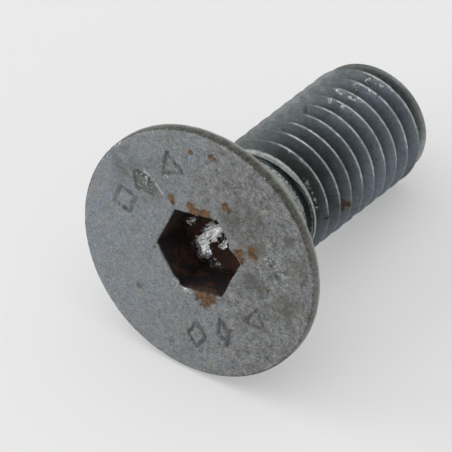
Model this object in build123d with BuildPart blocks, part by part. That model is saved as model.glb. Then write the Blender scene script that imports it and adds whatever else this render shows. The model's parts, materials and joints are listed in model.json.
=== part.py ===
from build123d import *
from math import atan, atan2, ceil, cos, degrees, floor, radians, tan
import os

# Countersunk socket screw, M8 by 20 mm: a forged head and socket with a rolled right-hand
# thread, all one piece. It is modelled upright along its own axis, Z, from the head's face
# at z = 0 to the tip, and then laid on its side as it rests on a table.

# Head, in mm and degrees
head_diameter = 16.0
head_land = 0.74  # height of the plain band round the rim
countersink_angle = 90.0
face_edge_bevel = 0.12

# Socket
socket_across_flats = 5.05
socket_depth = 3.2  # of the flat sides
socket_floor_angle = 120.0
socket_lead_in = 0.12  # bevel round the mouth
socket_turn = 48.0  # a corner's angle about the axis

# Neck between the head and the thread
neck_diameter = 7.2
neck_length = 1.7  # from the cone to the shoulder
neck_fillet = 0.8
shoulder_angle = 45.0

# Shank and thread
length = 19.6
thread_diameter = 7.87  # over the crests
pitch = 1.25
crest_width = 0.16
root_width = 0.21
flank_angle = 30.0  # each flank, from square to the axis
first_crest = 0.62  # height of the crest line at the side of the screw, less whole pitches
tip_chamfer_length = 0.8

# Tool allowances
cutter_over = 0.1  # how far a cutter stands outside what it cuts
turn_overlap = 2.0  # degrees by which the run-out reaches into the full thread

# Sizes that follow
head_radius = head_diameter / 2
neck_radius = neck_diameter / 2
crest_radius = thread_diameter / 2
flank_slope = tan(radians(flank_angle))
groove_width = pitch - crest_width
thread_depth = (groove_width - root_width) / 2 / flank_slope
root_radius = crest_radius - thread_depth
cone_end = head_land + (head_radius - neck_radius) / tan(radians(countersink_angle / 2))
neck_end = cone_end + neck_length
shoulder_end = neck_end + (crest_radius - neck_radius) / tan(radians(shoulder_angle))
chamfer_start = length - tip_chamfer_length

# The groove winds midway between the crests. The turn before its first full one is the
# run-out: it climbs to the neck's surface just past the fillet, and so out of the metal.
fillet_end = cone_end + neck_fillet * tan(radians(countersink_angle / 4))
neck_share = (crest_radius - neck_radius) / thread_depth
earliest_start = fillet_end + pitch * (1 - neck_share)
whole_crests = ceil((earliest_start - first_crest) / pitch - 0.5)
groove_start = first_crest + (whole_crests + 0.5) * pitch
turn_count = ceil((length + groove_width / 2 - groove_start) / pitch)
blank_end = groove_start + (turn_count + 1) * pitch


def groove_section(floor_radius, height):
    """The groove cut across: a trapezium that opens outwards from its floor."""
    half_floor = root_width / 2
    outer_radius = floor_radius + thread_depth + cutter_over
    half_mouth = half_floor + (thread_depth + cutter_over) * flank_slope
    with BuildSketch(Plane.XZ) as section:
        with BuildLine():
            Polyline(
                (floor_radius, height - half_floor),
                (outer_radius, height - half_mouth),
                (outer_radius, height + half_mouth),
                (floor_radius, height + half_floor),
                close=True,
            )
        make_face()
    return section.sketch


# One full turn of the groove
with BuildPart() as groove_turn:
    with BuildLine() as turn_path:
        Helix(pitch, pitch, root_radius + thread_depth / 2, center=(0, 0, groove_start))
    sweep(groove_section(root_radius, groove_start), path=turn_path.line, is_frenet=True)

# The run-out: a turn on a cone, from just outside the metal down to the thread's root.
# A conical helix takes its pitch along the cone's side.
runout_start = groove_start - pitch
runout_slope = atan(thread_depth / pitch)
with BuildPart() as groove_runout:
    with BuildLine() as runout_path:
        Helix(
            pitch / cos(runout_slope),
            pitch,
            crest_radius + thread_depth / 2,
            center=(0, 0, runout_start),
            cone_angle=-degrees(runout_slope),
        )
    sweep(groove_section(crest_radius, runout_start), path=runout_path.line, is_frenet=True)

with BuildPart() as upright:
    # Head, neck and a blank longer than the shank, turned about the axis
    with BuildSketch(Plane.XZ):
        with BuildLine():
            Polyline(
                (0, 0),
                (head_radius, 0),
                (head_radius, head_land),
                (neck_radius, cone_end),
                (neck_radius, neck_end),
                (crest_radius, shoulder_end),
                (crest_radius, blank_end),
                (0, blank_end),
                close=True,
            )
        make_face()
    revolve(axis=Axis.Z)
    neck_corner = edges().filter_by(GeomType.CIRCLE).filter_by_position(Axis.Z, cone_end, cone_end)
    fillet(neck_corner, neck_fillet)
    face_edge = edges().filter_by(GeomType.CIRCLE).filter_by_position(Axis.Z, 0, 0)
    chamfer(face_edge, face_edge_bevel)

    # Thread
    for turn in range(turn_count):
        with Locations((0, 0, turn * pitch)):
            add(groove_turn.part, mode=Mode.SUBTRACT)
    with Locations((0, 0, pitch * turn_overlap / 360)):
        add(groove_runout.part, rotation=(0, 0, turn_overlap), mode=Mode.SUBTRACT)

    # Tip: the blank is cut to length, and chamfered down to the thread's root
    over_length = cutter_over * tip_chamfer_length / thread_depth
    with BuildSketch(Plane.XZ):
        with BuildLine():
            Polyline(
                (0, length),
                (root_radius, length),
                (crest_radius + cutter_over, chamfer_start - over_length),
                (crest_radius + cutter_over, blank_end + cutter_over),
                (0, blank_end + cutter_over),
                close=True,
            )
        make_face()
    revolve(axis=Axis.Z, mode=Mode.SUBTRACT)

    # Socket: the hexagon with its bevelled mouth, and the pointed floor that the punch leaves
    socket_radius = socket_across_flats / 2
    with BuildSketch():
        RegularPolygon(socket_radius, 6, major_radius=False, rotation=socket_turn)
    extrude(amount=socket_depth, mode=Mode.SUBTRACT)
    mouth = edges().filter_by(GeomType.LINE).filter_by_position(Axis.Z, 0, 0)
    chamfer(mouth, socket_lead_in)
    socket_point = socket_depth + socket_radius / tan(radians(socket_floor_angle / 2))
    with BuildSketch(Plane.XZ):
        with BuildLine():
            Polyline(
                (0, socket_depth), (socket_radius, socket_depth), (0, socket_point), close=True
            )
        make_face()
    revolve(axis=Axis.Z, mode=Mode.SUBTRACT)

# On its side the screw touches down on the back of the head's rim and on its last whole
# crest. The underside is a quarter turn along the thread from the side of the screw.
crests_below = floor((chamfer_start + crest_width / 2 - first_crest) / pitch - 0.25)
last_crest = first_crest + (crests_below + 0.25) * pitch
crest_contact = min(last_crest + crest_width / 2, chamfer_start)
tilt = degrees(atan2(head_radius - crest_radius, crest_contact - head_land))

with BuildPart() as screw:
    add(upright.part, rotation=(-90 - tilt, 0, 0))

resting = screw.part.bounding_box()
screw.part.position -= (resting.center().X, resting.center().Y, resting.min.Z)
screw.part.label = "screw"
os.makedirs("parts", exist_ok=True)
export_step(screw.part, "parts/screw.step")
print("tilt", round(tilt, 3), "turns of groove", turn_count, "size", resting.size)
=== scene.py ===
import json
from math import cos, pi, radians, sin, tan, tau

import bmesh
import bpy
import numpy as np
from mathutils import Matrix, Vector, noise


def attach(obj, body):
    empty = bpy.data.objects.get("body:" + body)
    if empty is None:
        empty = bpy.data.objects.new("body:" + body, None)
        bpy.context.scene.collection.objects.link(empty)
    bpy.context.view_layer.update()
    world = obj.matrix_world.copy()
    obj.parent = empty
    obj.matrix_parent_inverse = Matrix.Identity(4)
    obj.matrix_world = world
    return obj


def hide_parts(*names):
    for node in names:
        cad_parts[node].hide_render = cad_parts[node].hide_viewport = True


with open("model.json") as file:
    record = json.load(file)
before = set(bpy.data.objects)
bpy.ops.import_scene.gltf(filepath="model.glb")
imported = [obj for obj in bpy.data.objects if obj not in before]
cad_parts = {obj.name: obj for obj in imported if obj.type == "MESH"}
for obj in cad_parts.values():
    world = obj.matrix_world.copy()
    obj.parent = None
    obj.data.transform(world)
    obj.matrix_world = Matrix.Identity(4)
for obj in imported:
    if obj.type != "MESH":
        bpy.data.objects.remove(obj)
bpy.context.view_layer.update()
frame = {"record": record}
print("frame loaded")

# The screw is built standing on its face, in mm, with Z running from the face to the tip.
# layDown then takes it to metres and to where it lies on the floor.
mm = 0.001
faceMount = {m["name"]: m for m in frame["record"]["mounts"]}["head_face"]
along = -Vector(faceMount["axis"]).normalized()
sideways = Vector((1, 0, 0))
downwards = along.cross(sideways)
faceCentre = Vector(faceMount["pos_m"])
faceCentre -= sideways * faceCentre.dot(sideways)
layTurn = Matrix((sideways, downwards, along)).transposed()
layDown = Matrix.Translation(faceCentre) @ layTurn.to_4x4() @ Matrix.Scale(mm, 4)

head = {
    "radius": 8.0,
    "land": 0.74,
    "coneAngle": 90.0,
    "edgeRound": 0.15,  # at the face
    "backRound": 0.05,  # at the land's back edge
    "cornerOff": 0.012,  # how far that edge's middle is cut back
    "coneIn": 0.04,  # how far in the cone's flat side starts
    "columns": 400,
    "faceRings": 48,
    "coneRings": 18,
}
socket = {
    "acrossFlats": 5.05,
    "depth": 3.2,
    "floorAngle": 120.0,
    "ledge": 0.02,  # between the floor and the walls
    "leadIn": 0.12,
    "within": 4.8,  # no part of it is deeper
    "turn": 48.0,  # a corner's angle, degrees
    "wallRings": 10,
    "floorRings": 13,
    "wallRoughness": 0.03,
    "floorRoughness": 0.1,
    # worn places of the mouth: angle, half width in degrees, how far it leans inwards
    "mouthDents": [(-33, 13, 0.2), (112, 9, 0.16), (-100, 5, -0.06), (165, 7, 0.07), (60, 5, 0.06)],
}
neck = {"radius": 3.6, "fillet": 0.8, "coneTo": 5.6, "shankFrom": 5.4}
thread = {
    "crestRadius": 3.935,
    "pitch": 1.25,
    "crestWidth": 0.11,
    "rootWidth": 0.21,
    "flankAngle": 30.0,
    "firstCrest": 0.622,  # height of the crest line at the side, less whole pitches
    "runOut": 3.77,  # turns past firstCrest where the groove starts
    "runOutTurns": 0.74,
    "columns": 200,
    "finerTurns": (4.3, 5.2, 15),  # from, to and how many more mesh lines where the thread starts
    "clearOfEnds": 0.012,
    "crestsBegin": 6.55,  # height where the crests start to stand above the neck
    "crestsGrow": 0.62,  # how fast they reach full height
    "firstGrooveOff": 0.28,  # how far the first groove stands off, in pitches
    "rootRound": 0.1,
    "crestRound": 0.05,
    "crestWear": 0.035,
    "nickDepth": 0.06,
    "seed": 3.0,
}
tip = {"length": 19.6, "chamfer": 0.8, "radius": 3.26, "lean": 0.19, "leanTowards": 15.0, "rings": 8}


def smooth(low, high, x):
    t = np.clip((x - low) / (high - low), 0, 1)
    return t * t * (3 - 2 * t)


def closeTo(middle, outer, inner, x):
    # 1 within inner of the middle, 0 past outer
    return smooth(outer, inner, np.abs(x - middle))


def turnsApart(degrees, turn):
    # from -180 to 180
    return np.mod(degrees - turn + 180, 360) - 180


def columnAngles(count):
    return radians(socket["turn"]) + tau * np.arange(count) / count


def hexagonRadius(angles, halfFlats):
    fromCorner = np.mod(angles - radians(socket["turn"]), tau / 6)
    return halfFlats / np.cos(fromCorner - pi / 6)


def arcPoints(centre, radius, fromAngle, toAngle, count):
    # points (rho, height) round a rounded corner, angles in degrees
    turns = np.radians(np.linspace(fromAngle, toAngle, count))
    return [(centre[0] + radius * np.cos(t), centre[1] + radius * np.sin(t)) for t in turns]


def tipRadius(angles, share=1.0):
    leaning = tip["lean"] * np.cos(angles - radians(tip["leanTowards"]))
    return (tip["radius"] + leaning) * share


class meshParts:
    # gathers points and faces, ring by ring
    def __init__(self):
        self.points, self.faces = [], []

    def add(self, points):
        first = len(self.points)
        self.points.extend(np.atleast_2d(points).tolist())
        return list(range(first, len(self.points)))

    def addPolar(self, angles, rho, height):
        rho = np.broadcast_to(rho, angles.shape)
        height = np.broadcast_to(height, angles.shape)
        return self.add(np.stack([rho * np.cos(angles), rho * np.sin(angles), height], axis=1))

    def joinRings(self, lower, upper):
        # equal rings, or a ring of twice as many points to one of half
        n, m = len(lower), len(upper)
        if n == m:
            for i in range(n):
                j = (i + 1) % n
                self.faces.append((lower[i], lower[j], upper[j], upper[i]))
            return
        for i in range(m):
            j = (i + 1) % m
            a, b, c = lower[2 * i], lower[2 * i + 1], lower[(2 * i + 2) % n]
            self.faces.extend([(a, b, upper[i]), (b, upper[j], upper[i]), (b, c, upper[j])])

    def joinPole(self, pole, ring, poleFirst):
        n = len(ring)
        for i in range(n):
            j = (i + 1) % n
            self.faces.append((pole, ring[j], ring[i]) if poleFirst else (ring[i], ring[j], pole))

    def joinColumns(self, left, right):
        # two rising chains of point numbers, each with its heights
        i = k = 0
        while i < len(left) - 1 or k < len(right) - 1:
            nextLeft = self.points[left[i + 1]][2] if i < len(left) - 1 else 1e9
            nextRight = self.points[right[k + 1]][2] if k < len(right) - 1 else 1e9
            if nextLeft < nextRight:
                self.faces.append((left[i], right[k], left[i + 1]))
                i += 1
            else:
                self.faces.append((left[i], right[k], right[k + 1]))
                k += 1


def threadRows():
    # heights of the mesh lines within one pitch, from a crest's middle, closer at the corners
    halfCrest = thread["crestWidth"] / 2
    halfPitch = thread["pitch"] / 2
    rootEdge = halfPitch - thread["rootWidth"] / 2
    oneSide = [halfCrest, halfCrest + 0.04, halfCrest + 0.12]
    oneSide += list(np.linspace(halfCrest + 0.22, rootEdge - 0.05, 3))
    oneSide += [rootEdge + 0.01]
    return np.array(sorted([0.0, halfPitch] + oneSide + [-h for h in oneSide]))


def socketRings(parts, angles):
    # from the floor's point up to the mouth
    halfFlats = socket["acrossFlats"] / 2
    leadIn = socket["leadIn"]
    floorSlope = 1 / tan(radians(socket["floorAngle"] / 2))
    pole = parts.add([0, 0, socket["depth"] + halfFlats * floorSlope])[0]
    rings = []
    for share in np.linspace(0, 1, socket["floorRings"] + 1)[1:]:
        rho = (halfFlats - socket["ledge"]) * share
        rings.append(parts.addPolar(angles, rho, socket["depth"] + (halfFlats - rho) * floorSlope))
    hexagon = hexagonRadius(angles, halfFlats)
    for height in np.linspace(socket["depth"], leadIn, socket["wallRings"]):
        rings.append(parts.addPolar(angles, hexagon, height))
    for grown, height in arcPoints((leadIn, leadIn), leadIn, 180, 270, 5)[1:]:
        mouth = hexagonRadius(angles, halfFlats + grown)
        rings.append(parts.addPolar(angles, mouth, height))
    return pole, rings, mouth


def faceRings(parts, angles, mouth):
    # from the mouth out to the rim, and along the land
    faceRound = head["edgeRound"]
    faceEdge = head["radius"] - faceRound
    rings = []
    for share in np.linspace(0, 1, head["faceRings"] + 1)[1:]:
        rings.append(parts.addPolar(angles, mouth + (faceEdge - mouth) * share, 0))
    for rho, height in arcPoints((faceEdge, faceRound), faceRound, -90, 0, 6)[1:]:
        rings.append(parts.addPolar(angles, rho, height))
    for height in np.linspace(faceRound, head["land"] - head["backRound"], 6)[1:]:
        rings.append(parts.addPolar(angles, head["radius"], height))
    return rings


def coneLine():
    # the cone and the neck's fillet: points (rho, height)
    coneSlope = tan(radians(head["coneAngle"] / 2))
    coneEnd = head["land"] + (head["radius"] - neck["radius"]) / coneSlope
    filletReach = neck["fillet"] * tan(radians(90 - head["coneAngle"] / 2) / 2)
    line = [(head["radius"] - head["cornerOff"], head["land"] - head["cornerOff"])]
    start = Vector((head["radius"] - head["coneIn"], head["land"] + head["coneIn"] / coneSlope))
    end = Vector((neck["radius"], coneEnd)) + Vector((1, -1)).normalized() * filletReach
    line += [tuple(start.lerp(end, k)) for k in np.linspace(0, 1, head["coneRings"])]
    filletCentre = (neck["radius"] + neck["fillet"], coneEnd + filletReach)
    return line + arcPoints(filletCentre, neck["fillet"], 225, 180, 8)[1:]


def shankColumns(parts, angles, neckRing, low):
    # points on lines that follow the thread, so that its corners stay sharp
    high = tip["length"]
    clear = thread["clearOfEnds"]
    tipRing = parts.addPolar(angles, tipRadius(angles), high)
    offsets = threadRows()
    columns = []
    for i, angle in enumerate(angles):
        lift = thread["firstCrest"] + thread["pitch"] * angle / tau
        turns = np.arange(-2, int(high / thread["pitch"]) + 2)
        heights = (turns[:, None] * thread["pitch"] + offsets[None, :] + lift).ravel()
        finer = lift + thread["pitch"] * np.linspace(*thread["finerTurns"]) - thread["pitch"] * (angle > pi)
        heights = np.unique(np.concatenate([heights, finer]).round(3))
        heights = heights[(heights > low + clear) & (heights < high - clear)]
        chain = parts.addPolar(np.full(len(heights), angle), thread["crestRadius"], heights)
        columns.append([neckRing[i]] + chain + [tipRing[i]])
    for i, left in enumerate(columns):
        parts.joinColumns(left, columns[(i + 1) % len(columns)])
    return tipRing


def endFace(parts, angles, tipRing):
    inner = tipRing
    for share in np.linspace(1, 0, tip["rings"] + 1)[1:-1]:
        ring = parts.addPolar(angles, tipRadius(angles, share), tip["length"])
        parts.joinRings(inner, ring)
        inner = ring
    centre = parts.add([0, 0, tip["length"]])[0]
    parts.joinPole(centre, inner, False)


def makeBlank():
    parts = meshParts()
    headAngles = columnAngles(head["columns"])
    shankAngles = columnAngles(thread["columns"])
    pole, rings, mouth = socketRings(parts, headAngles)
    rings += faceRings(parts, headAngles, mouth)
    line = coneLine()
    coneRings = [parts.addPolar(shankAngles, rho, height) for rho, height in line]
    for lower, upper in zip(rings, rings[1:]):
        parts.joinRings(lower, upper)
    parts.joinPole(pole, rings[0], True)
    for lower, upper in zip(rings[-1:] + coneRings, coneRings):
        parts.joinRings(lower, upper)
    low = line[-1][1]
    tipRing = shankColumns(parts, shankAngles, coneRings[-1], low)
    endFace(parts, shankAngles, tipRing)
    mesh = bpy.data.meshes.new("screwBlank")
    mesh.from_pydata(parts.points, [], parts.faces)
    mesh.validate()
    return mesh, low


blankMesh, threadStart = makeBlank()
blank = bpy.data.objects.new("screwBody", blankMesh)
bpy.context.scene.collection.objects.link(blank)
print("blank turned:", len(blankMesh.vertices), "points")

# Stamped marks: plain shapes that say nothing, each drawn by strokes in a square from -1 to 1
markShapes = {
    "square": [[(-0.75, -0.75), (0.75, -0.75), (0.75, 0.75), (-0.75, 0.75), (-0.75, -0.75)]],
    "diamond": [[(0, -1), (0.7, 0), (0, 1), (-0.7, 0), (0, -1)]],
    "triangle": [[(-0.9, 0.75), (0, -0.9), (0.9, 0.75), (-0.9, 0.75)]],
    "lozenge": [[(0, -1), (0.4, 0), (0, 1), (-0.4, 0), (0, -1)]],
    "star": [[(0, -0.95), (0, 0.95)], [(-0.82, -0.48), (0.82, 0.48)], [(-0.82, 0.48), (0.82, -0.48)]],
}
marks = {
    "stroke": 0.14,  # half its width
    "depth": 0.085,
    "burr": 0.022,
    "waver": 0.09,  # how far the strokes stray
    "finerWithin": (0.28, 0.18),  # distances from a stroke
    # shape, distance from the axis, angle, half height, wear from 0 to 1
    "places": [
        ("square", 5.5, -166, 0.78, 0.35),
        ("diamond", 5.25, -145, 0.9, 0.3),
        ("triangle", 5.75, -118, 0.82, 0.25),
        ("diamond", 5.5, 82, 0.85, 0.1),
        ("lozenge", 5.15, 61, 0.85, 0.15),
        ("triangle", 5.35, 31, 0.75, 0.3),
        ("star", 5.3, -14, 0.8, 0.6),
    ],
}
# bright scratches on the face: start, end, half width, depth
scratches = [
    ((-4.45, -3.9), (-3.75, -3.55), 0.06, 0.02),
    ((-3.45, -3.35), (-2.93, -2.88), 0.09, 0.03),
    ((-4.31, -3.75), (-4.05, -3.3), 0.04, 0.015),
    ((-0.42, 2.74), (0.0, 2.86), 0.07, 0.02),
    ((5.1, -1.6), (5.9, -1.2), 0.05, 0.02),
    ((5.25, -0.6), (6.1, -0.3), 0.04, 0.02),
]


def segmentDistance(x, y, start, end):
    dx, dy = end[0] - start[0], end[1] - start[1]
    share = np.clip(((x - start[0]) * dx + (y - start[1]) * dy) / (dx * dx + dy * dy), 0, 1)
    return np.hypot(x - start[0] - share * dx, y - start[1] - share * dy)


def markSegments():
    # every stroke of every mark: start, end, wear
    found = []
    for shape, rho, angle, size, wear in marks["places"]:
        turn = radians(angle)
        centre = np.array([np.cos(turn), np.sin(turn)]) * rho
        outwards, across = centre / rho, np.array([-np.sin(turn), np.cos(turn)])
        for chain in markShapes[shape]:
            spots = [centre + size * (p[0] * across - p[1] * outwards) for p in chain]
            found += [(a, b, wear) for a, b in zip(spots, spots[1:])]
    return found


strokes = markSegments()


def nearestStroke(x, y):
    nearest = np.full(x.shape, 9.0)
    wear = np.zeros(x.shape)
    for start, end, worn in strokes:
        distance = segmentDistance(x, y, start, end)
        wear = np.where(distance < nearest, worn, wear)
        nearest = np.minimum(nearest, distance)
    return nearest, wear


def refineFace(mesh, reach):
    # halves the face's mesh along the strokes
    bm = bmesh.new()
    bm.from_mesh(mesh)
    flat = [v for v in bm.verts if abs(v.co.z) < 1e-6 and v.co.xy.length < head["radius"] - 0.3]
    x = np.array([v.co.x for v in flat])
    y = np.array([v.co.y for v in flat])
    nearest = nearestStroke(x, y)[0]
    close = {flat[i] for i in np.nonzero(nearest < reach)[0]}
    edges = [e for e in bm.edges if e.verts[0] in close and e.verts[1] in close]
    bmesh.ops.subdivide_edges(bm, edges=edges, cuts=1, use_grid_fill=True)
    bm.to_mesh(mesh)
    bm.free()


for reach in marks["finerWithin"]:
    refineFace(blankMesh, reach)
print("face refined:", len(blankMesh.vertices), "points")


def noiseField(points, size, seed, octaves=3):
    shift = Vector((seed * 7.3, seed * 3.1, seed * 5.7))
    return np.array([noise.fractal(Vector(p) / size + shift, 0.7, 2.0, octaves) for p in points])


# Places of rust, stains and bare metal. On the face and the socket's floor each is x, y, radius
# and, where given, strength. On the cone and the shank it is height, angle, radius.
faceRust = [
    (-2.36, -2.92, 0.26), (-2.15, -2.72, 0.22), (-0.95, -2.95, 0.34), (-0.7, -2.62, 0.4),
    (-0.3, -2.7, 0.3), (0.1, -2.9, 0.36), (0.35, -2.7, 0.3), (1.3, -4.0, 0.3), (1.55, -3.8, 0.24),
    (2.75, -1.35, 0.4), (2.9, -1.0, 0.36), (3.5, -1.95, 0.36), (3.62, -1.6, 0.34), (0.6, 2.7, 0.45),
    (1.05, 2.62, 0.45), (0.95, 3.05, 0.36), (1.5, 2.55, 0.3), (-1.5, -6.5, 0.2), (-0.1, -6.85, 0.22),
    (0.15, -6.8, 0.18), (2.95, 4.1, 0.12), (-2.95, 0.9, 0.1), (4.9, 0.2, 0.14),
]
shankRust = [
    (10.3, 0, 0.3), (10.25, 6, 0.2), (8.05, -5, 0.13), (16.6, -69, 0.09), (12.2, 120, 0.3),
    (15.0, 170, 0.25), (8.6, 90, 0.3),
]
coneRust = [(3.0, 140, 0.35), (2.2, 60, 0.25), (3.9, -150, 0.3)]
# small bright flakes, partly painted glints; those on the shank: height, angle, half width, half length,
# strength
faceFlakes = [
    (-0.45, 2.8, 0.34, 1.3), (-0.95, 2.65, 0.3, 1.3), (3.55, -1.95, 0.4, 0.7), (4.74, -1.68, 0.75, 1.0),
    (5.3, -1.9, 0.5, 1.0), (5.57, -1.24, 0.4, 0.8), (6.0, -0.67, 0.55, 0.9), (4.23, -4.99, 0.35, 0.7),
    (4.81, -4.85, 0.35, 0.7), (-2.9, -1.9, 0.6, 0.6), (-3.3, -0.9, 0.5, 0.7), (-3.2, 0.4, 0.4, 0.6),
    (-2.95, 2.2, 0.45, 0.6), (-2.2, 2.9, 0.35, 0.5), (-4.1, -3.3, 0.9, 0.98), (-4.6, -2.6, 0.6, 0.95),
    (-3.0, -4.4, 0.7, 0.95), (-5.5, -1.6, 0.5, 0.85), (-2.7, -5.0, 0.6, 0.4), (3.0, -4.6, 0.8, 0.45),
    (1.2, -4.6, 0.9, 0.4), (4.6, 3.2, 1.0, 0.4), (-6.1, -1.2, 0.6, 0.4),
]
shankFlakes = [
    (15.2, -86, 0.2, 0.75, 0.75), (15.0, -97, 0.16, 0.2, 0.95), (16.4, -81, 0.22, 0.7, 0.7),
    (17.62, -80, 0.25, 0.6, 0.75), (13.94, -88, 0.2, 0.6, 0.45), (12.6, -93, 0.2, 0.4, 0.4),
    (18.2, -40, 0.2, 0.3, 0.6), (18.3, -75, 0.2, 0.5, 0.5), (14.1, -32, 0.08, 0.08, 1.6),
    (16.78, -12, 0.1, 0.1, 1.6), (13.9, -40, 0.05, 0.12, 1.4), (16.4, -40, 0.05, 0.14, 1.4),
    (8.3, -30, 0.1, 0.12, 1.0), (9.9, -50, 0.12, 0.14, 0.9),
]
# dark nicks in the thread
nicks = [(12.48, -107, 0.15), (9.92, -106, 0.09)]
# loops torn into the thread's flanks, given as the flakes of the shank are
flankLoops = [
    (15.22, -87, 0.11, 0.85, 0.95), (16.42, -82, 0.1, 0.8, 0.96), (17.6, -81, 0.12, 0.75, 0.99),
    (13.95, -88, 0.1, 0.6, 0.9),
]
# on the socket's floor: torn bright metal, and rust
floorBright = [
    (-1.23, 0.97, 0.55), (-0.9, 0.85, 0.4), (-1.44, 1.86, 0.42), (-1.62, 1.5, 0.4), (-1.23, 2.15, 0.34),
    (-0.44, 1.52, 0.24), (-0.28, 2.61, 0.34, 0.5), (-0.6, 2.5, 0.26, 0.5), (-2.5, 0.45, 0.4, 0.6),
    (0.9, -0.6, 0.5), (1.4, 0.9, 0.4), (0.3, 0.2, 0.35),
]
floorRust = [
    (-2.0, 1.07, 0.5), (-1.75, 0.6, 0.4), (-0.66, 1.97, 0.6), (-0.15, 2.15, 0.5), (0.57, 2.19, 0.5),
    (-1.2, 0.2, 0.4), (-0.5, 0.9, 0.4), (0.8, 1.6, 0.6), (1.5, -0.5, 0.6), (-0.3, -1.2, 0.7),
]
faceStains = [
    (2.6, -3.6, 1.3, 0.95), (3.4, -2.4, 0.9, 0.8), (5.75, -3.7, 0.45, 0.9), (6.2, 0.8, 1.1, 0.6),
    (4.0, 0.4, 0.8, 0.75), (5.2, 1.4, 0.9, 0.15), (1.0, -5.6, 0.9, 0.1), (-5.6, -3.6, 1.1, 0.5),
    (-3.2, -4.6, 0.9, 0.5), (-3.56, 4.0, 0.2, 0.9), (-0.85, 6.6, 0.22, 0.9), (-4.2, -3.0, 1.1, 0.6),
    (3.6, 2.9, 0.7, 0.3), (6.6, -2.2, 0.8, 0.45),
]
# Wear of the metal, in mm, and in degrees round the axis. A line or a side is its middle, and
# how far off it fades out and in.
metalWear = {
    "faceWaves": 0.008,
    "facePits": 0.014,
    "faceGrain": 0.004,
    "handledGrain": 0.024,  # more on the side that was handled
    "dents": 46,
    "dentSeed": 41,
    "dentSizes": (0.07, 0.2),
    "dentDepths": (0.008, 0.03),
    "dentReach": 7.6,  # from the axis
    "pits": (0.42, 0.75),  # levels of noise
    "lip": (3.35, 0.55, 0.15),  # the metal pushed up round the socket
    "lipHeight": 0.012,
    "lipEdge": 3.85,
    "lipEdgeWidth": 0.07,
    "lipEdgeDepth": 0.022,
    "lipSide": (165, 80, 25),
    "faceEdge": (0.03, 0.14, 0.02),
    "faceEdgeSide": (-80, 110, 70),
    # the bright line along the land's back edge, partly a painted highlight, and the side where it is
    # brighter
    "landEdge": (head["land"], 0.26, 0.04),
    "landSide": (-40, 120, 40),
    "rimEdgeDents": 0.02,
    "rimBackDents": 0.015,
    "rimWaves": 0.004,
    # angle, half width, depth
    "rimDents": [(-61, 1.6, 0.04), (-44, 2.2, 0.035), (-20, 2.0, 0.04), (100, 3.0, 0.03), (171, 2.5, 0.02)],
    "coneWaves": 0.012,
    "coneDents": 0.03,
}
# noise on the metal: size in mm, seed and, where given, octaves
wearNoise = {
    "fade": (0.5, 3),
    "waverX": (0.4, 31),
    "waverY": (0.4, 32),
    "rough": (0.32, 5),
    "broad": (1.4, 6),
    "lipEdge": (1.0, 26),
    "rimFront": (0.35, 8),
    "rimBack": (0.3, 9),
    "socketX": (0.34, 11, 4),
    "socketY": (0.34, 12, 4),
    "socketZ": (0.34, 13, 4),
    "mouth": (0.5, 15),
    "cone": (0.5, 17),
    "ragged": (0.22, 21, 4),
    "raggedSide": (0.22, 22, 4),
    "patchy": (0.4, 27),
    "speckle": (0.12, 28),
}
# Where the thread starts, in turns counted along the axis, less the angle, or where it says so
# in mm; what fades on one side does so in degrees round the axis. Lines and sides are as above.
firstTurn = {
    "fadesIn": (-175, -125),
    "fadesOut": (85, 25),
    "nearSide": (-40, 75, 30),
    "margin": (4.4, 0.09, 0.04),
    "tornEdge": (5.685, 0.1, 0.03),
    "tornSide": (-31, 28, 10),
    # painted shadow: where the dark gap between the neck and the ring lies
    "shadedGap": (4.45, 4.5),
    "shadedGapSide": (15, -30),
    "ring": 4.88,
    "ringDrift": 0.1,
    # painted highlight inside the ring
    "ringHighlight": (5.07, 0.07, 0.03),
    "ringFrom": (4.9, 5.3),  # mm
    "ringTo": 5.15,
    "ringTurns": 60,  # degrees, past which it comes back by ringBack
    "ringBack": 0.84,  # mm
    # painted highlight on the neck's lit strip, and the side where it shows
    "neckHighlight": (5.5, 0.2, 0.04),  # mm
    "neckHighlightSide": (-70, 34, 12),
}
spotFade = (1.45, 0.35)  # shares of a spot's radius


def spots(x, y, places, ragged):
    covered = np.zeros(x.shape)
    for px, py, radius, *strength in places:
        distance = np.hypot(x - px, y - py) / radius
        full = strength[0] if strength else 1.0
        covered = np.maximum(covered, full * smooth(*spotFade, distance + ragged))
    return covered


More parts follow.
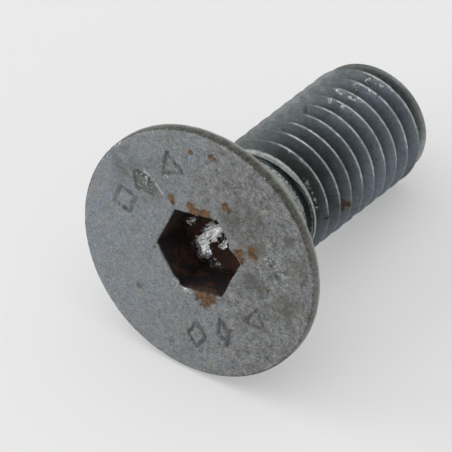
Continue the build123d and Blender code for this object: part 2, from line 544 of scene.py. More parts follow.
class metalPoints:
    # the blank's points in mm, and which part of the screw each one is on
    def __init__(self, mesh):
        count = len(mesh.vertices)
        flat = np.empty(count * 3)
        mesh.vertices.foreach_get("co", flat)
        self.points = flat.reshape(count, 3)
        self.x, self.y, self.z = x, y, z = self.points.T
        self.rho, self.angle = rho, angle = np.hypot(x, y), np.arctan2(y, x)
        self.around = np.degrees(angle)
        hexagon = hexagonRadius(angle, socket["acrossFlats"] / 2)
        self.onFace = (np.abs(z) < 1e-6) & (rho > hexagon)
        self.inSocket = (z < socket["within"]) & (rho <= hexagon + socket["leadIn"] + 1e-5) & ~self.onFace
        self.onFloor = self.inSocket * smooth(2.5, 3.1, z)
        self.onRim = (rho > head["radius"] - 0.5) & (z < 1.5)
        self.onCone = (z > head["land"] - 0.02) & (z < neck["coneTo"]) & ~self.inSocket
        self.onShank = z >= neck["shankFrom"]
        self.onSide = self.onCone | self.onShank
        self.nearMouth = smooth(0.45, 0.0, z) * self.inSocket
        self.nearMouth = self.nearMouth + smooth(0.45, 0.0, rho - hexagon - socket["leadIn"]) * self.onFace
        self.mouthLine = np.abs(rho - hexagon - socket["leadIn"] * 0.6)
        # mm to a degree
        self.girth = np.where(z > neck["shankFrom"], thread["crestRadius"], rho) * pi / 180
        self.broad = self.noise("broad", self.onFace)
        self.rimWave = self.noise("rimFront", self.onRim)
        self.ragged = 0.45 * self.noise("ragged", self.onFace | self.inSocket)
        self.raggedSide = 0.45 * self.noise("raggedSide", self.onSide)

    def noise(self, name, where):
        field = np.zeros(len(self.points))
        field[where] = noiseField(self.points[where], *wearNoise[name])
        return field

    def away(self, turn):
        return np.abs(turnsApart(self.around, turn))

    def side(self, name):
        turn, outer, inner = metalWear[name]
        return smooth(outer, inner, self.away(turn))

    def sideDistance(self, height, turn):
        return np.hypot(self.z - height, turnsApart(self.around, turn) * self.girth)

    def windingDistance(self, height, turn, halfWidth, halfLength):
        # longer along the thread than across it
        off = turnsApart(self.around, turn) * self.girth
        climb = thread["pitch"] * off / self.girth / 360
        return np.hypot((self.z - height - climb) / halfWidth, off / halfLength)


def faceRelief(metal):
    # marks, scratches and dents
    x, y, onFace = metal.x, metal.y, metal.onFace
    fade = metal.noise("fade", onFace)
    waver = [marks["waver"] * metal.noise(name, onFace) for name in ("waverX", "waverY")]
    stroke, wear = nearestStroke(x + waver[0], y + waver[1])
    kept = np.clip(1.1 - wear + fade * 0.5, 0.35, 1) * onFace
    halfStroke = marks["stroke"] * (1 + 0.5 * waver[1] / marks["waver"])
    stamp = smooth(halfStroke + 0.06, halfStroke * 0.2, stroke) * kept
    burr = smooth(marks["stroke"] + 0.22, marks["stroke"] + 0.08, stroke) * (1 - stamp) * kept
    depth = marks["depth"] * stamp - marks["burr"] * burr
    scraped = np.zeros(len(x))
    for start, end, width, deep in scratches:
        line = smooth(width, width * 0.3, segmentDistance(x, y, start, end) + 0.03 * fade) * onFace
        depth += deep * line
        scraped = np.maximum(scraped, line)
    rough = metal.noise("rough", onFace)
    pits = smooth(*metalWear["pits"], rough)
    handled = smooth(-4.5, 4.5, 0.8 * x - 0.5 * y + 3 * metal.broad)
    grain = metalWear["faceGrain"] + metalWear["handledGrain"] * handled
    depth += (metalWear["faceWaves"] * metal.broad + metalWear["facePits"] * pits + grain * rough) * onFace
    random = np.random.default_rng(metalWear["dentSeed"])
    for _ in range(metalWear["dents"]):
        px, py = random.uniform(-metalWear["dentReach"], metalWear["dentReach"], 2)
        size, deep = random.uniform(*metalWear["dentSizes"]), random.uniform(*metalWear["dentDepths"])
        depth += deep * np.exp(-((x - px) ** 2 + (y - py) ** 2) / size ** 2) * onFace
    lip = closeTo(*metalWear["lip"], metal.rho) * onFace
    fromEdge = np.abs(metal.rho - metalWear["lipEdge"] - 0.05 * fade)
    lipEdge = smooth(metalWear["lipEdgeWidth"], 0.0, fromEdge) * onFace
    oneSide = closeTo(*metalWear["lipSide"], np.mod(metal.around, 360))
    lipEdge = lipEdge * smooth(0.15, 0.6, metal.noise("lipEdge", onFace) + 0.8 * oneSide)
    depth += metalWear["lipEdgeDepth"] * lipEdge - metalWear["lipHeight"] * lip
    return depth, stamp, scraped


def rimRelief(metal):
    # small dents along the rim's two edges
    z, onRim = metal.z, metal.onRim
    edgeDent = smooth(0.2, 0.7, metal.rimWave) * smooth(0.35, 0.05, z) * onRim
    backDent = smooth(0.25, 0.7, metal.noise("rimBack", onRim)) * smooth(0.5, 0.72, z) * onRim
    inwards = metalWear["rimEdgeDents"] * edgeDent + metalWear["rimBackDents"] * backDent
    inwards = inwards + metalWear["rimWaves"] * metal.rimWave * onRim
    for turn, width, deep in metalWear["rimDents"]:
        inwards += deep * smooth(width, 0, metal.away(turn)) * onRim * smooth(0.6, 0.1, z)
    return inwards


def socketRoughness(metal):
    # hammered walls and a torn floor
    floorMore = socket["floorRoughness"] - socket["wallRoughness"]
    rougher = socket["wallRoughness"] + floorMore * smooth(2.6, 3.3, metal.z)
    return rougher * smooth(0.0, 0.35, metal.z) * metal.inSocket


def mouthRelief(metal):
    # the mouth's worn edge leans in or out
    lean = 0.03 * metal.noise("mouth", metal.nearMouth > 0)
    for turn, width, inwardsBy in socket["mouthDents"]:
        lean += inwardsBy * smooth(width, 0, metal.away(turn))
    return lean * metal.nearMouth


def coneRelief(metal):
    # faint waves and small dents
    uneven = metal.noise("cone", metal.onCone)
    dents = smooth(0.45, 0.8, uneven)
    depth = metalWear["coneWaves"] * uneven + metalWear["coneDents"] * dents
    return depth * metal.onCone * smooth(neck["coneTo"], 5.0, metal.z)


def rustNote(metal):
    x, y, ragged = metal.x, metal.y, metal.ragged
    rust = spots(x, y, faceRust, ragged) * smooth(0.9, 0.3, metal.z)
    rust = np.maximum(rust, 0.9 * spots(x, y, floorRust, ragged) * metal.onFloor)
    for height, turn, radius in shankRust + coneRust:
        distance = metal.sideDistance(height, turn) / radius
        rust = np.maximum(rust, smooth(*spotFade, distance + metal.raggedSide) * metal.onSide)
    return rust


def flakeAndGlintNote(metal):
    # bright flakes, the rim's and the mouth's worn edges, and torn loops, partly painted glints
    z, rim = metal.z, head["radius"]
    flaked = spots(metal.x, metal.y, faceFlakes, metal.ragged) * (metal.onFace | metal.inSocket & (z < 0.5))
    edgeLine = closeTo(*metalWear["faceEdge"], z) * smooth(rim - 0.3, rim - 0.15, metal.rho)
    flakedEdge = edgeLine * metal.side("faceEdgeSide") * smooth(-0.2, 0.25, metal.rimWave)
    flakedMouth = 0.6 * (metal.nearMouth * smooth(0.12, 0.02, metal.mouthLine))
    flakesAndGlints = np.maximum.reduce([flaked, flakedEdge, flakedMouth])
    for *place, strength in shankFlakes:
        flake = smooth(*spotFade, metal.windingDistance(*place) + metal.raggedSide)
        flakesAndGlints = np.maximum(flakesAndGlints, strength * flake * metal.onSide)
    for *place, strength in flankLoops:
        distance = metal.windingDistance(*place)
        loop = closeTo(1, 0.45, 0.15, distance + 0.5 * metal.raggedSide)
        loop = loop + 0.55 * smooth(1.1, 0.8, distance)
        flakesAndGlints = np.maximum(flakesAndGlints, strength * loop * metal.onSide)
    return flakesAndGlints


def runOutNotes(metal):
    # a painted shadow in the dark gap, torn slivers, and painted highlights on the neck and inside the ring
    # that winds out of it
    z, around, onSide = metal.z, metal.around, metal.onSide
    crests = (z - thread["firstCrest"]) / thread["pitch"] - metal.angle / tau
    early = smooth(*firstTurn["fadesIn"], around) * smooth(*firstTurn["fadesOut"], around)
    early = early * metal.onShank
    nearSide = closeTo(*firstTurn["nearSide"], around)
    margin = closeTo(*firstTurn["margin"], crests)
    tornEdge = closeTo(*firstTurn["tornEdge"], crests)
    tornEdge = tornEdge * (0.8 + 0.95 * closeTo(*firstTurn["tornSide"], around))
    patchy = np.clip(0.8 + metal.noise("patchy", onSide), 0, 1.2)
    slivers = (tornEdge + 0.9 * margin) * patchy * (0.35 + 0.65 * nearSide) * early
    ringStart = firstTurn["ring"] + firstTurn["ringDrift"] * np.clip((around + 70) / 40, -0.5, 1.5)
    # painted shadow: near black in the gap between the neck and the ring
    shadedGap = smooth(*firstTurn["shadedGap"], crests) * smooth(ringStart + 0.02, ringStart - 0.04, crests)
    shadedGap = np.maximum(shadedGap, 0.45 * smooth(0.03, 0.01, np.abs(crests - ringStart - 0.1)))
    shadedGap = np.maximum(shadedGap, margin * smooth(0.0, 0.3, metal.noise("speckle", onSide)))
    shadedGap = shadedGap * early * (0.25 + 0.75 * smooth(*firstTurn["shadedGapSide"], around))
    # painted highlights inside the ring and on the neck
    ringHighlight = 0.55 * closeTo(*firstTurn["ringHighlight"], crests)
    ringHighlight = ringHighlight * (0.4 + 0.6 * nearSide) * early
    neckHighlight = 0.8 * closeTo(*firstTurn["neckHighlight"], z)
    neckHighlight = neckHighlight * closeTo(*firstTurn["neckHighlightSide"], around) * onSide
    turned = firstTurn["ringTurns"]
    ringTo = firstTurn["ringTo"] + np.minimum(around, turned) / 360
    ringEnd = thread["firstCrest"] + thread["pitch"] * ringTo
    ringEnd = ringEnd - np.clip((around - turned) / (180 - turned), 0, 1) * firstTurn["ringBack"]
    ring = smooth(*firstTurn["ringFrom"], z) * smooth(ringEnd + 0.04, ringEnd - 0.04, z) * onSide
    return slivers, shadedGap, ring, np.maximum(ringHighlight, neckHighlight)


def rimBackLine(metal):
    # a bright line along the rim's back edge, brighter on one side: partly a worn edge, partly a painted
    # highlight
    backLine = closeTo(*metalWear["landEdge"], metal.z) * (metal.rho > head["radius"] - 0.3)
    return 0.7 * (backLine * (0.45 + 0.55 * metal.side("landSide")))


def darkenedNote(metal):
    # darker inside the socket below its mouth, and at the nicks
    darkened = smooth(0.02, 0.13, metal.z) * metal.inSocket
    for height, turn, radius in nicks:
        distance = metal.sideDistance(height, turn) / radius
        darkened = np.maximum(darkened, 0.85 * (smooth(1.3, 0.5, distance + metal.raggedSide) * metal.onShank))
    return darkened


def wearAndTear(mesh):
    # moves the points where the metal is dented, and notes what the material needs
    metal = metalPoints(mesh)
    moved = metal.points.copy()
    depth, stamp, scraped = faceRelief(metal)
    moved[:, 2] += depth
    rougher = socketRoughness(metal)
    for axis, name in enumerate(("socketX", "socketY", "socketZ")):
        moved[:, axis] += rougher * metal.noise(name, metal.inSocket)
    inwards = rimRelief(metal) + mouthRelief(metal) + coneRelief(metal)
    scale = np.where(metal.rho > 1e-6, 1 - inwards / np.maximum(metal.rho, 1e-6), 1)
    moved[:, :2] *= scale[:, None]
    mesh.vertices.foreach_set("co", moved.ravel())

    slivers, shadedGap, ring, runOutHighlights = runOutNotes(metal)
    stained = 1.4 * spots(metal.x, metal.y, faceStains, 0.5 * metal.broad)
    notes = {
        "rust": rustNote(metal),
        "stain": np.clip(stained, 0, 0.9) * metal.onFace,
        "stamp": stamp,
        # bare metal, with painted highlights on the rim's back edge, the neck and the ring
        "bareAndHighlit": np.maximum.reduce([rimBackLine(metal), scraped, runOutHighlights]),
        "darkened": darkenedNote(metal),
        "polish": spots(metal.x, metal.y, floorBright, 0.8 * metal.ragged) * metal.onFloor,
        "flakesAndGlints": np.maximum(flakeAndGlintNote(metal), slivers),
        "ring": ring,
        "shadedGap": shadedGap,
    }
    for name, values in notes.items():
        mesh.attributes.new(name, "FLOAT", "POINT").data.foreach_set("value", values.astype(np.float32))


wearAndTear(blankMesh)
print("face stamped and worn")


class nodeMaker:
    # adds nodes to a tree, where each input takes a value or another node's output
    def __init__(self, tree):
        self.tree = tree

    def feed(self, target, value):
        if isinstance(value, bpy.types.NodeSocket):
            self.tree.links.new(value, target)
        elif value is not None:
            target.default_value = value

    def add(self, kind, *values, **settings):
        node = self.tree.nodes.new(kind)
        for name, setting in settings.items():
            setattr(node, name, setting)
        for target, value in zip(node.inputs, values):
            self.feed(target, value)
        return node

    def do(self, operation, *values, clamp=False):
        return self.add("ShaderNodeMath", *values, operation=operation, use_clamp=clamp).outputs[0]

    def times(self, first, *others):
        for other in others:
            first = self.do("MULTIPLY", first, other)
        return first

    def vector(self, operation, first, second=None, factor=None):
        node = self.add("ShaderNodeVectorMath", first, second, None, factor, operation=operation)
        return node.outputs["Value" if operation in ("LENGTH", "DOT_PRODUCT") else "Vector"]

    def noise(self, vector, scale, seed, detail=2.0, roughness=0.5, distortion=0.0):
        node = self.add("ShaderNodeTexNoise", noise_dimensions="4D")
        given = {
            "Vector": vector,
            "Scale": scale,
            "W": seed,
            "Detail": detail,
            "Roughness": roughness,
            "Distortion": distortion,
        }
        for name, value in given.items():
            self.feed(node.inputs[name], value)
        return node.outputs

    def ranged(self, value, low, high, toLow=0.0, toHigh=1.0):
        # eased at both ends
        inputs = (value, low, high, toLow, toHigh)
        return self.add("ShaderNodeMapRange", *inputs, interpolation_type="SMOOTHSTEP").outputs[0]


threadInputs = {
    "Thread Start": threadStart + 0.001,
    "First Crest": thread["firstCrest"],
    "Pitch": thread["pitch"],
    "Crest Radius": thread["crestRadius"],
    "Crest Width": thread["crestWidth"],
    "Root Width": thread["rootWidth"],
    "Flank Angle": thread["flankAngle"],
    "Run Out": thread["runOut"],
    "Run Out Turns": thread["runOutTurns"],
    "Neck Radius": neck["radius"],
    "Crests Begin": thread["crestsBegin"],
    "Crests Grow": thread["crestsGrow"],
    "Length": tip["length"],
    "Chamfer": tip["chamfer"],
    "Tip Radius": tip["radius"],
    "Tip Lean": tip["lean"],
    "Lean Towards": tip["leanTowards"],
    "Crest Wear": thread["crestWear"],
    "Nick Depth": thread["nickDepth"],
    "Seed": thread["seed"],
}


def rollThreadTree():
    # turns a plain shank into a thread: each point's distance from the axis follows the helix
    tree = bpy.data.node_groups.new("rollThread", "GeometryNodeTree")
    sockets = tree.interface
    sockets.new_socket("Geometry", in_out="INPUT", socket_type="NodeSocketGeometry")
    for name in threadInputs:
        sockets.new_socket(name, in_out="INPUT", socket_type="NodeSocketFloat")
    sockets.new_socket("Material", in_out="INPUT", socket_type="NodeSocketMaterial")
    sockets.new_socket("Geometry", in_out="OUTPUT", socket_type="NodeSocketGeometry")
    maker = nodeMaker(tree)
    do, times, vector, ranged = maker.do, maker.times, maker.vector, maker.ranged
    given = maker.add("NodeGroupInput").outputs
    position = maker.add("GeometryNodeInputPosition").outputs[0]
    x, y, z = maker.add("ShaderNodeSeparateXYZ", position).outputs
    turn = do("DIVIDE", do("ARCTAN2", y, x), tau)

    # u counts crests along the axis at this angle, and grooves lie half way between
    u = do("SUBTRACT", do("DIVIDE", do("SUBTRACT", z, given["First Crest"]), given["Pitch"]), turn)
    cell = do("FLOOR", u)
    wound = do("ADD", do("ADD", cell, 0.5), turn)
    sinceStart = do("SUBTRACT", wound, given["Run Out"])
    # the first groove stands off towards the tip
    offTo = ranged(sinceStart, 0.2, 0.75, 0.0, thread["firstGrooveOff"])
    shift = times(offTo, ranged(sinceStart, 0.9, 1.6, 1.0, 0.0))
    offCentre = do("SUBTRACT", do("SUBTRACT", do("SUBTRACT", u, cell), 0.5), shift)
    fromGroove = times(do("ABSOLUTE", offCentre), given["Pitch"])
    grown = do("DIVIDE", sinceStart, given["Run Out Turns"], clamp=True)
    flank = do("TANGENT", do("RADIANS", given["Flank Angle"]))
    grooveWidth = do("SUBTRACT", given["Pitch"], given["Crest Width"])
    depth = do("DIVIDE", do("SUBTRACT", grooveWidth, given["Root Width"]), times(flank, 2.0))
    rootRadius = do("SUBTRACT", given["Crest Radius"], times(depth, grown))
    rise = do("DIVIDE", do("SUBTRACT", fromGroove, times(given["Root Width"], 0.5)), flank)
    grooved = do("ADD", rootRadius, do("SMOOTH_MAX", rise, 0.0, thread["rootRound"]))

    # crests grow out of the neck, and are worn and nicked in places
    beyond = do("MAXIMUM", do("SUBTRACT", z, given["Crests Begin"]), 0.0)
    stillToGrow = do("EXPONENT", do("DIVIDE", times(beyond, -1.0), given["Crests Grow"]))
    raised = do("SUBTRACT", given["Crest Radius"], given["Neck Radius"])
    crest = do("SUBTRACT", given["Crest Radius"], times(raised, stillToGrow))
    worn = ranged(maker.noise(position, 0.9, given["Seed"], 2.0)[0], 0.45, 0.75)
    nicked = ranged(maker.noise(position, 2.6, do("ADD", given["Seed"], 5.0), 1.0)[0], 0.66, 0.74)
    crest = do("SUBTRACT", crest, times(worn, given["Crest Wear"]))
    crest = do("SUBTRACT", crest, times(nicked, given["Nick Depth"]))
    radius = do("SMOOTH_MIN", grooved, crest, thread["crestRound"])

    # the tip's chamfer leans a little to one side
    outwards = vector("NORMALIZE", vector("MULTIPLY", position, (1, 1, 0)))
    leanAngle = do("RADIANS", given["Lean Towards"])
    leanWay = maker.add("ShaderNodeCombineXYZ", do("COSINE", leanAngle), do("SINE", leanAngle)).outputs[0]
    leaning = times(vector("DOT_PRODUCT", outwards, leanWay), given["Tip Lean"])
    tipHere = do("ADD", given["Tip Radius"], leaning)
    chamferSlope = do("DIVIDE", do("SUBTRACT", given["Crest Radius"], given["Tip Radius"]), given["Chamfer"])
    chamfered = do("ADD", tipHere, times(do("SUBTRACT", given["Length"], z), chamferSlope))
    radius = do("SMOOTH_MIN", radius, chamfered, thread["crestRound"])

    place = vector("SCALE", outwards, factor=radius)
    place = vector("ADD", place, vector("MULTIPLY", position, (0, 0, 1)))
    beforeEnd = do("LESS_THAN", z, do("SUBTRACT", given["Length"], 0.001))
    onShank = times(do("GREATER_THAN", z, given["Thread Start"]), beforeEnd)
    shape = maker.add("GeometryNodeSetPosition", given["Geometry"], onShank, place).outputs[0]

    # the material reads how close a point is to its crest, and how deep in the groove it lies
    below = do("SUBTRACT", crest, radius)
    developed = do("POWER", do("SUBTRACT", 1.0, stillToGrow), 2.0)
    notes = {
        "crestLine": times(ranged(below, 0.028, 0.0), developed),
        "grooveDepth": do("DIVIDE", below, depth, clamp=True),
    }
    for name, value in notes.items():
        noted = times(value, onShank)
        shape = maker.add("GeometryNodeStoreNamedAttribute", shape, None, name, noted).outputs[0]
    shape = maker.add("GeometryNodeRealizeInstances", shape).outputs[0]
    shape = maker.add("GeometryNodeSetMaterial", shape, None, given["Material"]).outputs[0]
    maker.add("NodeGroupOutput", shape)
    return tree


def applyTree(obj, tree, values):
    modifier = obj.modifiers.new(tree.name, "NODES")
    modifier.node_group = tree
    for item in tree.interface.items_tree:
        if item.in_out == "INPUT" and item.name in values:
            modifier[item.identifier] = values[item.name]
    graph = bpy.context.evaluated_depsgraph_get()
    evaluated = obj.evaluated_get(graph)
    made = bpy.data.meshes.new_from_object(evaluated, preserve_all_data_layers=True, depsgraph=graph)
    obj.modifiers.clear()
    obj.data = made


steelLook = {
    "face": (0.215, 0.225, 0.232),
    "landDark": (0.075, 0.073, 0.06),
    "land": (0.17, 0.17, 0.15),
    "landPale": (0.2, 0.205, 0.195),
    "cone": (0.15, 0.155, 0.15),
    # painted shade and light on the shank: the first colour near the head, the second towards the tip and on
    # one side
    "shankShaded": (0.076, 0.083, 0.083),
    "shankLit": (0.21, 0.242, 0.28),
    "stain": (0.075, 0.075, 0.062),
    "pit": (0.06, 0.06, 0.06),
    # bright specks: painted glints, and scratches
    "scratchAndGlint": (0.5, 0.51, 0.5),
    "stamp": (0.06, 0.062, 0.065),
    # bare metal, and painted highlights
    "bareMetalAndHighlight": (0.46, 0.48, 0.46),
    # crests worn bright, partly a painted highlight that fades away from one side
    "rubbedAndLit": (0.6, 0.64, 0.63),
    "flake": (0.66, 0.68, 0.67),
    # painted reflection: the ring's pale colour
    "ring": (0.4, 0.44, 0.44),
    # painted shadow in the gap between the neck and the ring
    "shadedGap": (0.028, 0.028, 0.034),
    # painted sheen: the shank paler on one side, where it mirrors a broad light
    "paintedSheen": (0.19, 0.201, 0.189),
    # painted shade: the shank darker on one side
    "shadedSide": (0.08, 0.096, 0.1),
    "tail": (0.07, 0.073, 0.056),
    "silver": (1.0, 1.0, 1.0),
    "dullSilver": (0.8, 0.8, 0.84),
    "tarnish": (0.4, 0.39, 0.42),
    "rustBright": (0.2, 0.088, 0.022),
    "rustDark": (0.055, 0.03, 0.014),
    "rustHalo": (0.13, 0.11, 0.07),
    "socketRust": (0.07, 0.022, 0.012),
    # near black inside the socket and at the nicks, brown in places
    "darkened": (0.012, 0.01, 0.009),
    "darkenedBrown": (0.075, 0.024, 0.012),
    # tints
    "plain": (1, 1, 1),
    "blueTint": (1.03, 1.08, 1.13),
    "oliveTint": (0.83, 0.82, 0.79),
    "coolTint": (0.95, 1.01, 1.06),
    "warmTint": (1.07, 1.0, 0.92),
}
# noise in the steel: scale per mm, seed and, where given, detail, roughness, distortion
steelNoise = {
    "grain": (9.5, 1.0, 3.0, 0.7),
    "mottle": (1.6, 2.0, 5.0, 0.65),
    "patches": (0.45, 11.0, 4.0, 0.6),
    "scuffing": (3.6, 14.0, 2.0, 0.5, 0.6),
    "hue": (7.0, 3.0, 3.0, 0.6),
    # painted glints
    "paintedGlints": (11.0, 4.0, 1.0),
    "pits": (6.0, 5.0, 2.0),
    "warmth": (1.1, 17.0, 4.0, 0.6),
    "stains": (1.4, 6.0, 4.0, 0.6, 0.8),
    "crests": (2.6, 7.0, 4.0, 0.75),
    "flakes": (9.0, 15.0, 2.0, 0.7),
    "darkened": (1.6, 8.0, 4.0, 0.6),
    "rust": (4.0, 9.0, 6.0, 0.75),
    "rustHue": (3.2, 10.0, 5.0, 0.7),
    "torn": (3.2, 16.0, 3.0, 0.6),
}
# where a finish fades in, or out where the first is the higher: heights, or distances from
# the axis, in mm
steelEdges = {
    "landFront": (0.004, 0.035),
    "landBack": (0.75, 0.71),
    "landShade": (0.05, 0.75),
    "rim": (7.8, 7.9),
    "coneFront": (0.72, 0.76),
    "outside": (3.1, 3.2),  # the socket lies within
    "thread": (7.0, 7.6),
    # painted shade near the head, fading to painted light towards the tip
    "paleShank": (6.5, 15.0),
    "tail": (17.9, 18.3),
    # painted highlight along the tip's last edge
    "lastEdgeHighlight": (18.7, 19.3),
    "endFaceEdge": (3.0, 3.15),
}
# a side of the screw: its angle round the axis, and the cosines between which it fades in
steelSides = {
    "landPale": (0.0, 0.6, 1.0),
    # painted light on one side of the shank
    "paleShank": (75.0, 0.0, 0.75),
    # painted sheen on one side of the shank
    "paintedSheen": (-140.0, 0.5, 0.95),
    # painted shade on one side of the shank
    "shadedSide": (-106.0, 0.85, 1.0),
    # the side where the worn crests show, partly a painted highlight
    "rubbedAndLit": (-55.0, 0.58, 0.97),
}
# the levels of noise, or of a note on the mesh, between which a pattern fades in, and where
# given the amounts that it fades from and to
steelLevels = {
    "pits": (0.62, 0.72),
    "paintedGlints": (0.66, 0.74),
    "scuffs": (0.64, 0.72),
    "stains": (0.25, 0.7),
    "stamp": (0.4, 0.6, 0.5, 0.9),
    "tail": (0.36, 0.6, 0.3, 0.75),
    "warmth": (0.38, 0.62),
    "handled": (-6.5, 5.0),
    "roughSide": (-4.0, 4.0),
    "inGroove": (0.02, 0.12),
    "ring": (0.08, 0.3, 1.0, 0.0),
    "lastEdgeHighlight": (0.35, 0.6, 0.5, 0.9),
    "rubbedAndLit": (0.0, 1.0, 0.06, 1.0),
    "crests": (0.36, 0.62, 0.3, 1.0),
    "flakes": (0.53, 0.66),
    "flakesAndGlints": (0.05, 0.3),
    "darkened": (0.5, 0.62),
    "rust": (0.34, 0.78),
    "rustHue": (0.42, 0.6),
    "rustHalo": (0.1, 0.45),
    "torn": (0.38, 0.42),
    "polish": (0.05, 0.15),
    "silver": (0.42, 0.54),
    "tarnish": (0.54, 0.57),
    "metallic": (0.0, 1.0, 0.35, 0.85),
    "roughness": (0.3, 0.7, 0.36, 0.52),
}
# scratches combed two ways: angle in radians, seed
steelScuffs = {"scale": (0.7, 10.0, 4.0), "ways": [(0.6, 12.0), (2.2, 13.0)]}
# how strongly each one shows
steelAmounts = {
    "landPale": 0.7,
    "paleShank": 0.8,
    "grooveShade": 0.6,
    "paintedSheen": 0.7,
    "shadedSide": 0.85,
    "warmth": 0.5,
    "hue": 0.22,
    "grain": 0.35,
    "pits": 0.5,
    "paintedGlints": 0.7,
    "scuffs": 0.3,
    "rust": 0.92,
    "rustHalo": 0.4,
    "shankRust": 0.8,
    "shankTexture": 0.3,
    "bumpStrength": 0.5,
    "bumpDistance": 0.00008,  # m
    "bareMetallic": 0.7,
    "tornMetallic": 0.9,
    "polished": 0.16,  # how much smoother bare metal is
    "dullRoughness": 0.8,
    "grainHeight": 0.6,
    "pitHeight": 0.5,
    "rustHeight": 1.5,
    "scuffingHeight": 2.8,
    "mottleHeight": 4.0,
    "tornHeight": -0.8,
    # how much lighter and darker each pattern makes the smooth side, and the rough side
    "mottleLight": (0.6, 1.45),
    "scuffingLight": (0.2, 1.7),
    "grainLight": (2.2, 2.9),
}


class steelMaker(nodeMaker):
    # what the stages of the steel share: the place on the screw, patterns and masks
    def __init__(self, tree):
        super().__init__(tree)
        # object coordinates taken back to the standing screw, in mm
        objectPlace = self.add("ShaderNodeTexCoord").outputs["Object"]
        lying = (faceCentre, layTurn.to_euler(), (mm, mm, mm))
        self.place = self.add("ShaderNodeMapping", objectPlace, *lying, vector_type="TEXTURE").outputs[0]
        x, y, self.z = self.add("ShaderNodeSeparateXYZ", self.place).outputs
        self.rho = self.vector("LENGTH", self.vector("MULTIPLY", self.place, (1, 1, 0)))
        self.grain, self.grainColour = self.noise(self.place, *steelNoise["grain"])
        self.mottle = self.pattern("mottle")
        self.patches = self.pattern("patches")
        self.scuffing = self.pattern("scuffing")
        self.pits = self.shown("pits")
        inGroove = self.level(self.noted("grooveDepth"), "inGroove")
        threaded = self.do("MAXIMUM", inGroove, self.edge(self.z, "thread"))
        self.onShank = self.times(threaded, self.edge(self.rho, "outside"))
        self.textured = self.ranged(self.onShank, 0.0, 1.0, 1.0, steelAmounts["shankTexture"])
        # handled more on one side: bluish and smooth to dull olive and rough
        handled = self.do("ADD", self.times(x, 0.8), self.times(y, -0.15))
        self.handled = self.do("ADD", handled, self.times(self.do("SUBTRACT", self.patches, 0.5), 9.0))
        self.roughSide = self.level(self.handled, "roughSide")

    def pattern(self, name):
        return self.noise(self.place, *steelNoise[name])[0]

    def noted(self, name):
        return self.add("ShaderNodeAttribute", attribute_name=name).outputs["Fac"]

    def level(self, value, name):
        return self.ranged(value, *steelLevels[name])

    def shown(self, name):
        return self.level(self.pattern(name), name)

    def edge(self, measure, name):
        return self.ranged(measure, *steelEdges[name])

    def side(self, name):
        # 1 where the surface lies towards this angle round the axis
        angle, low, high = steelSides[name]
        facing = self.vector("DOT_PRODUCT", self.place, (cos(radians(angle)), sin(radians(angle)), 0))
        ragged = self.times(self.do("SUBTRACT", self.mottle, 0.5), 0.5)
        return self.ranged(self.do("ADD", self.do("DIVIDE", facing, self.rho), ragged), low, high)

    def blend(self, factor, below, above, mode="MIX"):
        # above and below are colours, or names from steelLook
        node = self.add("ShaderNodeMix", factor, data_type="RGBA", blend_type=mode, clamp_factor=True)
        for target, colour in zip(node.inputs[6:8], (below, above)):
            self.feed(target, (*steelLook[colour], 1) if isinstance(colour, str) else colour)
        return node.outputs[2]


def finishAndPaintedLight(steel):
    # each part's colour, and on the shank painted shade near the head, in the grooves, in the gap and on one
    # side, painted light towards the tip and on two other sides, and a painted reflection on the ring
    do, times, edge, side, blend = steel.do, steel.times, steel.edge, steel.side, steel.blend
    z, rho, onShank, amounts = steel.z, steel.rho, steel.onShank, steelAmounts
    land = blend(edge(z, "landShade"), "landDark", "land")
    land = blend(times(side("landPale"), amounts["landPale"]), land, "landPale")
    onLand = times(edge(z, "landFront"), edge(z, "landBack"), edge(rho, "rim"))
    onCone = times(edge(z, "coneFront"), edge(rho, "outside"))
    finish = blend(onCone, blend(onLand, "face", land), "cone")
    # painted shade near the head, painted light towards the tip and on one side
    towardsTip = do("ADD", z, times(do("SUBTRACT", steel.patches, 0.5), 8.0))
    paintedLightSide = times(side("paleShank"), amounts["paleShank"])
    shank = blend(do("MAXIMUM", edge(towardsTip, "paleShank"), paintedLightSide), "shankShaded", "shankLit")
    shade = do("MULTIPLY_ADD", steel.noted("grooveDepth"), amounts["grooveShade"] - 1, 1.0)
    finish = blend(onShank, finish, steel.vector("SCALE", shank, factor=shade))
    # painted reflection: the pale ring that winds out of the neck
    ringSheen = times(steel.noted("ring"), steel.level(steel.noted("grooveDepth"), "ring"))
    finish = blend(ringSheen, finish, "ring")
    # painted shadow in the gap between the neck and the ring
    finish = blend(steel.noted("shadedGap"), finish, "shadedGap")
    # painted sheen on one side of the shank, and painted shade beside it
    for name in ("paintedSheen", "shadedSide"):
        finish = blend(times(side(name), onShank, amounts[name]), finish, name)
    return finish


def unevenTone(steel, finish):
    # tints and lightness that change over the surface
    do, blend, amounts = steel.do, steel.blend, steelAmounts
    tint = blend(steel.level(steel.handled, "handled"), "blueTint", "oliveTint")
    warmth = blend(steel.shown("warmth"), "coolTint", "warmTint")
    tint = blend(amounts["warmth"], tint, warmth, "MULTIPLY")
    base = blend(1.0, finish, blend(steel.onShank, tint, "plain"), "MULTIPLY")
    base = blend(amounts["hue"], base, steel.noise(steel.place, *steelNoise["hue"])[1], "OVERLAY")
    base = blend(amounts["grain"], base, steel.grainColour, "SOFT_LIGHT")
    lightness = 0.0
    parts = {"mottleLight": steel.mottle, "scuffingLight": steel.scuffing, "grainLight": steel.grain}
    for name, part in parts.items():
        fewest, most = amounts[name]
        amount = do("MULTIPLY_ADD", steel.roughSide, most - fewest, fewest)
        lightness = do("MULTIPLY_ADD", do("SUBTRACT", part, 0.5), amount, lightness)
    lightness = do("MULTIPLY_ADD", lightness, steel.textured, 1.0)
    return steel.vector("SCALE", base, factor=lightness)


